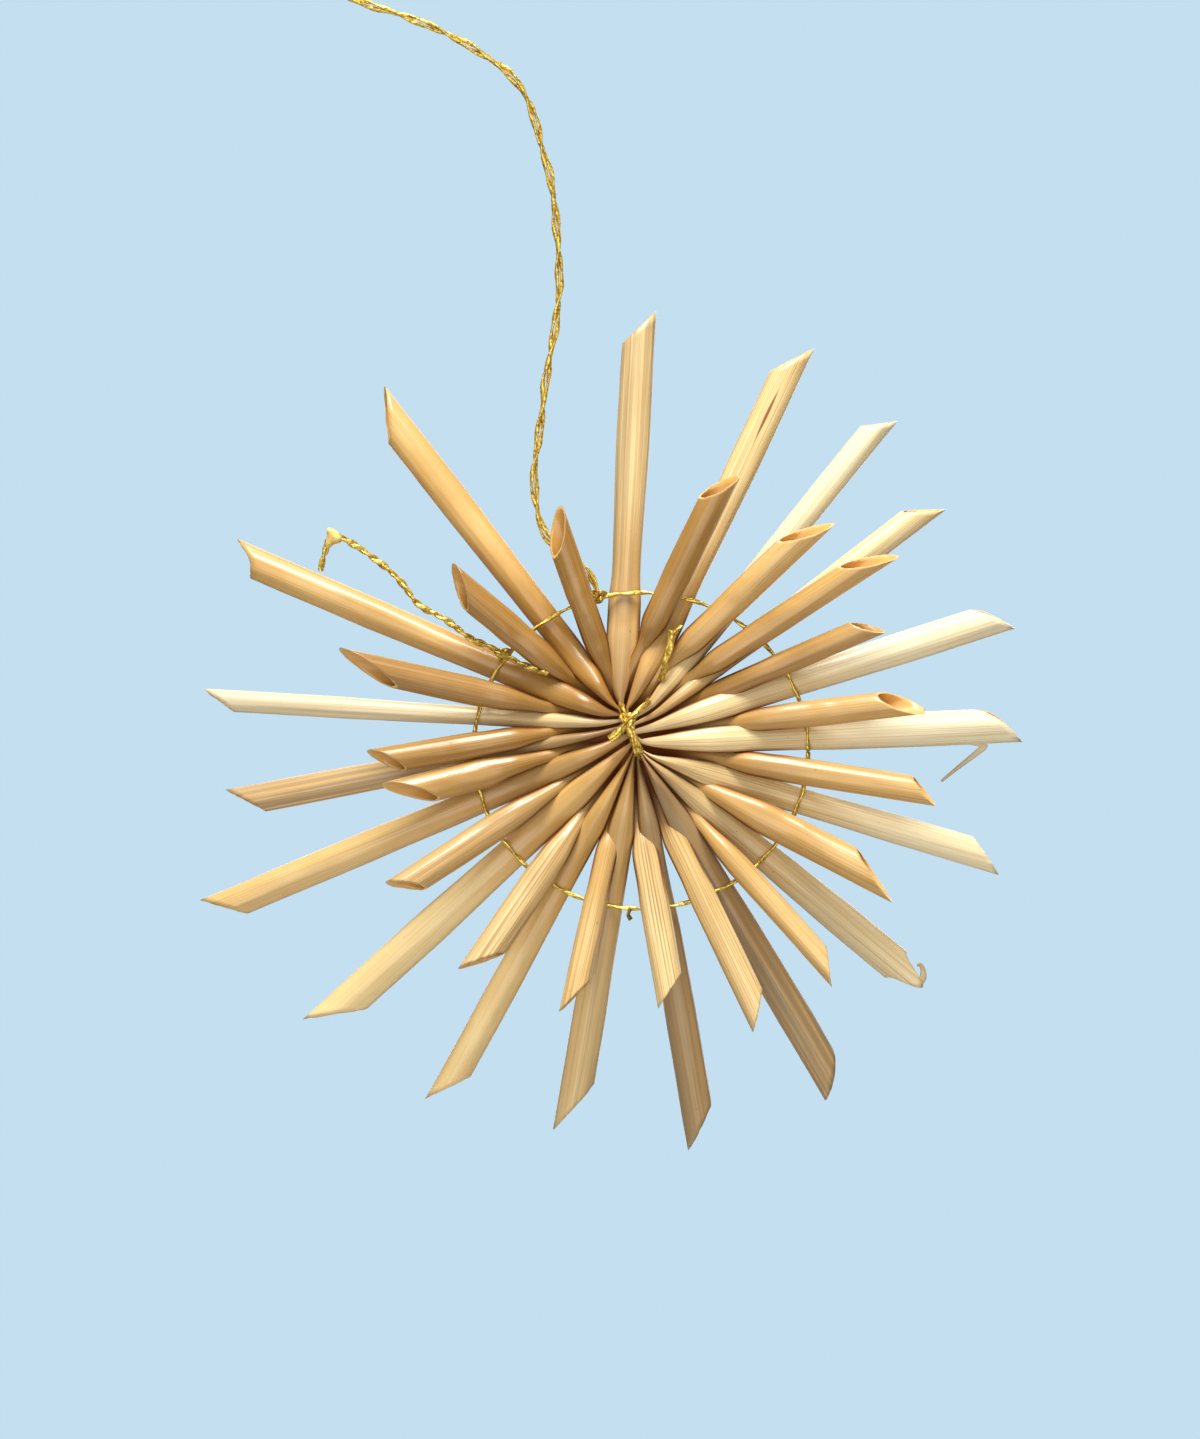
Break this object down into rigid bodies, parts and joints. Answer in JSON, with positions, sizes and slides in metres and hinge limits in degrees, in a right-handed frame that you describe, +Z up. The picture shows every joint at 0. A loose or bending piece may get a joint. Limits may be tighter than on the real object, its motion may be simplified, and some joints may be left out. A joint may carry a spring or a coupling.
{
  "type": "straw star ornament",
  "caption": "Flat round star of crossed natural straws, bound and woven with gold thread, with a thread loop to hang it by.",
  "frame": {"origin": "inside the bight of the hanging loop, where a hook carries the star", "axes": "+Z up along the hanging direction, the star's face looks along -Y, +X to the right of someone facing it"},
  "size_m": [0.0984, 0.0168, 0.1539],
  "materials": {
    "dried_straw": "satin, fluted lengthwise",
    "darker_straw": "satin, fluted lengthwise",
    "gold_thread": "foil-wrapped thread, bright",
    "dried_glue": "cloudy, half gloss"
  },
  "bodies": {
    "root": {"long_straw_1": "dried_straw", "long_straw_2": "dried_straw", "long_straw_3": "dried_straw", "long_straw_4": "dried_straw", "long_straw_5": "dried_straw", "long_straw_6": "dried_straw", "long_straw_7": "dried_straw", "long_straw_8": "dried_straw", "long_straw_9": "dried_straw", "short_straw_1": "darker_straw", "short_straw_2": "darker_straw", "short_straw_3": "darker_straw", "short_straw_4": "darker_straw", "short_straw_5": "darker_straw", "short_straw_6": "darker_straw", "short_straw_7": "darker_straw", "short_straw_8": "darker_straw", "short_straw_9": "darker_straw", "ring_thread": "gold_thread", "centre_tie": "gold_thread", "hanging_loop": "gold_thread", "thread_tail": "gold_thread", "glue_drop": "dried_glue", "thread_tip": "gold_thread"}
  },
  "joints": []
}
